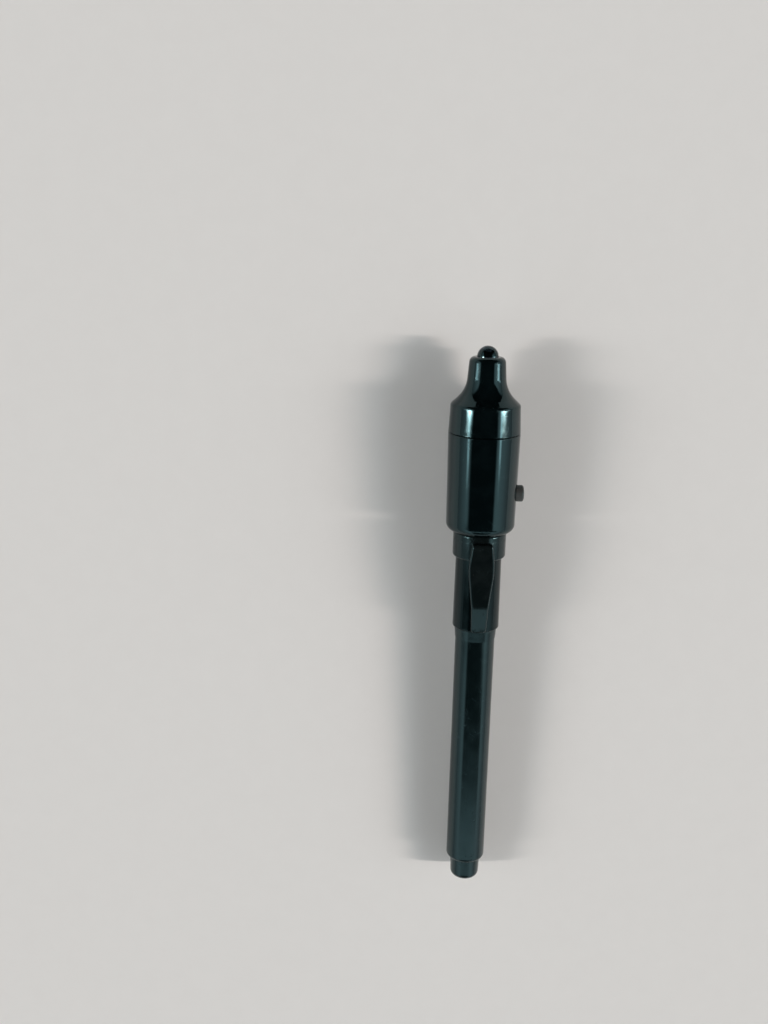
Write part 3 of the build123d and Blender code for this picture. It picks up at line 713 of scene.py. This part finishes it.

# Push button: a stepped plunger that comes out through the lamp body's side, held by its flange.
# Dark brown-grey plastic with a fine spark texture, and a shine where a thumb rubs its face. Its colour
# is painted lighter, a warm grey, as a painted sheen over the plastic's own dark brown-grey.
button_reach = ends_of("push_button", across)[1]
button_face = (button_reach - 0.5, button_reach - 0.05)
# Painted sheen: these greys are lighter than the plastic's own dark brown-grey.
button_deep_painted_sheen = (0.058, 0.053, 0.049, 1)
button_pale_painted_sheen = (0.082, 0.075, 0.071, 1)
button_spark = 0.14
button_cloud = 1.2
button_rough = (0.48, 0.62)
thumb_shine = 0.12
spark_depth = 0.012 * MM
button_grey_painted_sheen, tree, shader = new_finish("button_grey_painted_sheen")
spark = noise(tree, in_millimetres(tree), button_spark, detail=3.0, roughness=0.65)
cloud = noise(tree, in_millimetres(tree), button_cloud, detail=3.0)
face = ramp(tree, use_effect(tree, pen_place)["Radius"], *button_face)
mottled = blend_colours(tree, cloud, button_deep_painted_sheen, button_pale_painted_sheen)
rough = ramp(tree, spark, *noise_spread, *button_rough)
rubbed = sum_of(tree, "MULTIPLY_ADD", face, -thumb_shine, rough)
drive(tree, shader, mottled, rubbed, bump(tree, spark, spark_depth))
shader.inputs["IOR"].default_value = plastic_bend
shader.inputs["Specular Tint"].default_value = painted_cool_gloss
dress(solids["push_button"], button_grey_painted_sheen)

# Nose cone: the shoulder and the bullet round the lamp, on a spigot that screws into the lamp body.
# The same glossy black ABS, worn along the shoulder's edge. The thread on the spigot is moulded, and
# runs out at both ends.
spigot_foot, nose_top = ends_of("nose_cone")
spigot_radius = 6.75
shoulder = 125.6
nose_rims = [(shoulder - 0.1, 0.9), (nose_top - 0.2, 0.9), (seam + 0.1, 0.4)]
thread_foot = spigot_foot + 0.75
thread_pitch = 1.35
thread_turns = 2.6
thread_height = 0.28
thread_sink = 0.03
thread_root = spigot_radius - 0.06
thread_root_half = 0.42
thread_crest_half = 0.16
thread_run_out = 0.2
thread_steps = 48
nose_black = black_plastic("nose_black", cap_deep, cap_pale, lamp_gloss, nose_rims)
dress(solids["nose_cone"], nose_black)
thread_shape = bmesh.new()
thread_rings = []
thread_count = int(thread_turns * thread_steps)
for step in range(thread_count + 1):
    angle = step * math.tau / thread_steps
    station = thread_foot + thread_pitch * step / thread_steps
    full = min(1.0, min(step, thread_count - step) / (thread_steps * thread_run_out))
    crest = spigot_radius + thread_height * full - thread_sink * (1 - full)
    outline = (
        (-thread_root_half, thread_root), (-thread_crest_half, crest),
        (thread_crest_half, crest), (thread_root_half, thread_root),
    )
    thread_rings.append([round_pen(station + off, radius, angle) for off, radius in outline])
skin_rings(thread_shape, thread_rings)
nose_thread = make_piece("nose_thread", thread_shape, "nose")
dress(nose_thread, nose_black)

# Table: a plain pale sheet under the pen, larger than any view of it.
# Matt board, faintly mottled.
table_half = 2.5
table_pale = (0.85, 0.85, 0.84, 1)
table_shade = (0.82, 0.82, 0.81, 1)
table_mottle = 6.0
table_rough = 0.85
table_shape = bmesh.new()
table_corners = []
for x, y in ((-1, -1), (1, -1), (1, 1), (-1, 1)):
    table_corners.append(table_shape.verts.new((x * table_half, y * table_half, 0)))
table_shape.faces.new(table_corners)
table_mesh = bpy.data.meshes.new("table")
table_shape.to_mesh(table_mesh)
table_shape.free()
table = bpy.data.objects.new("table", table_mesh)
bpy.context.scene.collection.objects.link(table)
table_board, tree, shader = new_finish("table_board")
mottle = noise(tree, in_millimetres(tree), table_mottle, detail=5.0, roughness=0.6)
tree.links.new(blend_colours(tree, mottle, table_shade, table_pale), shader.inputs["Base Color"])
shader.inputs["Roughness"].default_value = table_rough
dress(table, table_board)

# Studio: a pale room, dimmer towards the horizon, with a dark ceiling that widens past the pen's ends,
# a flap on the left and a dark hood low past the tail. Two compact soft boxes by the lamp's end light
# the table, each with a dim tail past the lamp and a pale slit back along the ceiling's side.
room_high = 1.25
room_low = 0.45
room_rise = 0.65
room_light = (0.93, 1.0, 1.02, 1)
box_light = (1.25, 1.03, 0.92, 1)
ceiling_level = 0.025
flap_level = 0.05
box_level = 130.0
box_tail = 0.05
slit_level = 5.5

# Angles in degrees, sideways to the button's side and lengthwise to the lamp's end. A foot is how high
# above the horizon something starts, from none to all of it.
ceiling_left = (-57.0, -42.0)
ceiling_right = (31.0, 43.0)
ceiling_near = (-33.8, -30.8)
lamp_spread = 15.0
lamp_spread_from = (4.0, 24.0)
tail_spread = 18.0
tail_spread_from = (-26.0, -21.0)
hood_sides = (-41.0, 39.0)
hood_soft = 5.0
hood_near = (-43.0, -38.5)
hood_foot = (0.24, 0.36)
flap_side = (-52.0, -44.0)
flap_near = (-23.0, -18.5)
flap_soft = 1.0
box_foot = (0.12, 0.26)
box_sides = ((-61.0, -50.5), (47.5, 58.0))
box_soft = 8.0
box_lean = 2.5
lean_from = -7.0
box_near = ((-6.8, -5.0), (-7.0, -5.2))
box_share = (1.0, 1.3)
box_dip = (-4.2, -3.0)
box_far = (0.5, 4.5)
slit_sides = ((-60.0, -54.0), (45.0, 51.0))
slit_soft = 2.5
slit_near = (-16.8, -13.2)
world = bpy.data.worlds.new("studio")
bpy.context.scene.world = world
world.use_nodes = True
tree = world.node_tree
background = tree.nodes["Background"]
towards = put(tree, "SeparateXYZ", {0: put(tree, "TexCoord").outputs["Generated"]}).outputs
forward = sum_of(tree, "MAXIMUM", towards[1], 0.0)
upward = towards[2]
steep = sum_of(tree, "MULTIPLY_ADD", forward, forward, sum_of(tree, "MULTIPLY", upward, upward))
sideways_turn = sum_of(tree, "ARCTAN2", towards[0], sum_of(tree, "SQRT", steep))
lengthwise_turn = sum_of(tree, "ARCSINE", towards[1])
sideways_angle = sum_of(tree, "MULTIPLY", sideways_turn, math.degrees(1.0))
lengthwise_angle = sum_of(tree, "MULTIPLY", lengthwise_turn, math.degrees(1.0))


def window(angle, low, high, soft):
    """A mask between two angles, with soft edges."""
    opens = ramp(tree, angle, low - soft, low + soft)
    closes = ramp(tree, angle, high - soft, high + soft, 1.0, 0.0)
    return sum_of(tree, "MULTIPLY", opens, closes)


def together(first, *others):
    """Light or masks multiplied together."""
    for other in others:
        first = sum_of(tree, "MULTIPLY", first, other)
    return first


spread = sum_of(
    tree, "ADD", ramp(tree, lengthwise_angle, *lamp_spread_from, 0.0, lamp_spread),
    ramp(tree, lengthwise_angle, *tail_spread_from, tail_spread, 0.0),
)
ceiling = together(
    ramp(tree, sideways_angle, *ceiling_left),
    ramp(tree, sum_of(tree, "SUBTRACT", sideways_angle, spread), *ceiling_right, 1.0, 0.0),
    ramp(tree, lengthwise_angle, *ceiling_near),
)
hood = together(
    window(sideways_angle, *hood_sides, hood_soft),
    ramp(tree, lengthwise_angle, *hood_near, 1.0, 0.0),
    ramp(tree, upward, *hood_foot),
)
above_foot = ramp(tree, upward, *box_foot)
flap = together(
    window(lengthwise_angle, *flap_near, flap_soft),
    ramp(tree, sideways_angle, *flap_side, 1.0, 0.0),
    above_foot,
)
room = together(
    ramp(tree, upward, 0.0, room_rise, room_low, room_high),
    ramp(tree, sum_of(tree, "MAXIMUM", ceiling, hood), 0.0, 1.0, 1.0, ceiling_level),
    ramp(tree, flap, 0.0, 1.0, 1.0, flap_level),
)
lean = together(sum_of(tree, "SUBTRACT", lengthwise_angle, lean_from), box_lean)
pair = []
for way, sides, near, share in zip(("ADD", "SUBTRACT"), box_sides, box_near, box_share):
    leaning = window(sum_of(tree, way, sideways_angle, lean), *sides, box_soft)
    pair.append(together(leaning, ramp(tree, lengthwise_angle, *near, 0.0, share)))
boxes = together(
    sum_of(tree, "ADD", *pair),
    ramp(tree, lengthwise_angle, *box_dip, 1.0, box_tail),
    ramp(tree, lengthwise_angle, *box_far, 1.0, 0.0),
    above_foot,
)
slits = together(
    sum_of(tree, "ADD", *[window(sideways_angle, *sides, slit_soft) for sides in slit_sides]),
    ramp(tree, lengthwise_angle, *slit_near, 0.0, slit_level),
    ramp(tree, lengthwise_angle, *box_near[0], 1.0, 0.0),
)
lit = sum_of(tree, "MULTIPLY_ADD", boxes, box_level, sum_of(tree, "ADD", room, slits))
tree.links.new(lit, background.inputs["Strength"])
tree.links.new(blend_colours(tree, boxes, room_light, box_light), background.inputs["Color"])

# Camera: nearly over the pen, a little to its left and towards the lamp's end.
# Its focal length is given in pixels of the picture.
eye = Vector((-0.032400, 0.085843, 0.254433))
eye_turn = Euler((math.radians(-12.953), math.radians(-1.679), math.radians(1.150)))
focal_pixels = 1050.0
picture_height = 1024
sensor_width = 36.0
camera = bpy.data.objects.new("camera", bpy.data.cameras.new("camera"))
camera.location = eye
camera.rotation_euler = eye_turn
camera.data.sensor_width = sensor_width
camera.data.lens = sensor_width * focal_pixels / picture_height
camera.data.clip_start = 0.005
bpy.context.scene.collection.objects.link(camera)
bpy.context.scene.camera = camera
bpy.context.scene.view_settings.view_transform = "Standard"

bpy.context.view_layer.update()
